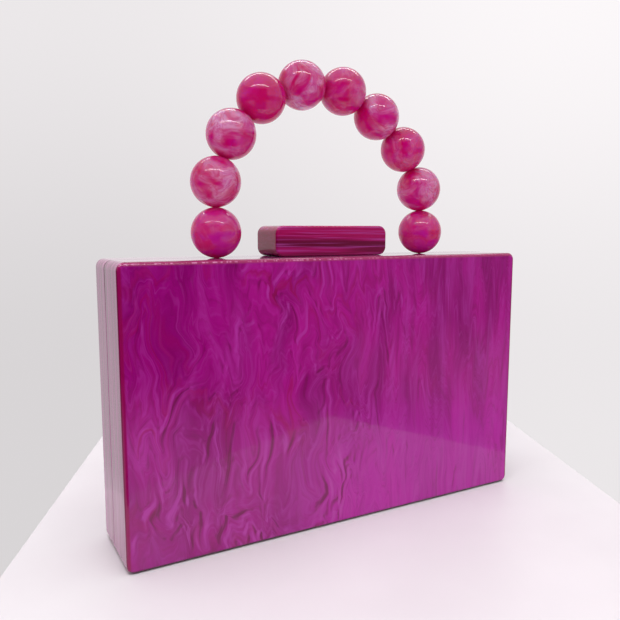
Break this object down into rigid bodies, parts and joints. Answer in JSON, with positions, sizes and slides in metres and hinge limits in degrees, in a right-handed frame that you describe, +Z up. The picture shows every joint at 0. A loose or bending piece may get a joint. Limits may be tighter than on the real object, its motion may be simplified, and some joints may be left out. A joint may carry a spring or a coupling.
{
  "type": "acrylic box clutch bag",
  "caption": "Rigid rectangular box clutch in marbled acrylic, split into hinged front and back halves, with a clasp bar on top and an arched handle of large round beads.",
  "frame": {"origin": "middle of the footprint, on the surface that the bag stands on", "axes": "+Z up, +X to the right along the width seen from the front, +Y from the front panel to the back panel"},
  "size_m": [0.2, 0.039, 0.2058],
  "materials": {
    "marbled_acrylic": "polished, marbled magenta with a pearl lustre",
    "streaked_acrylic": "polished, fine streaks",
    "clasp_acrylic": "polished, streaked along its length",
    "bead_acrylic": "polished, swirled crimson and pink",
    "hinge_brass": "satin",
    "wire_steel": "drawn"
  },
  "bodies": {
    "front_half": {"front_panel": "marbled_acrylic", "front_frame": "streaked_acrylic", "bead_01": "bead_acrylic", "bead_02": "bead_acrylic", "bead_03": "bead_acrylic", "bead_04": "bead_acrylic", "bead_05": "bead_acrylic", "bead_06": "bead_acrylic", "bead_07": "bead_acrylic", "bead_08": "bead_acrylic", "bead_09": "bead_acrylic", "bead_10": "bead_acrylic", "handle_wire": "wire_steel", "hinge_leaf_front": "hinge_brass", "hinge_pin": "wire_steel"},
    "back_half": {"back_panel": "marbled_acrylic", "back_frame": "streaked_acrylic", "clasp_bar": "clasp_acrylic", "hinge_leaf_back": "hinge_brass"}
  },
  "joints": [
    {"name": "bottom_hinge", "type": "hinge", "parent": "front_half", "child": "back_half", "pos_m": [0, 0.002, 0.0019], "axis": [-1, 0, 0], "range_deg": [0, 60]}
  ]
}
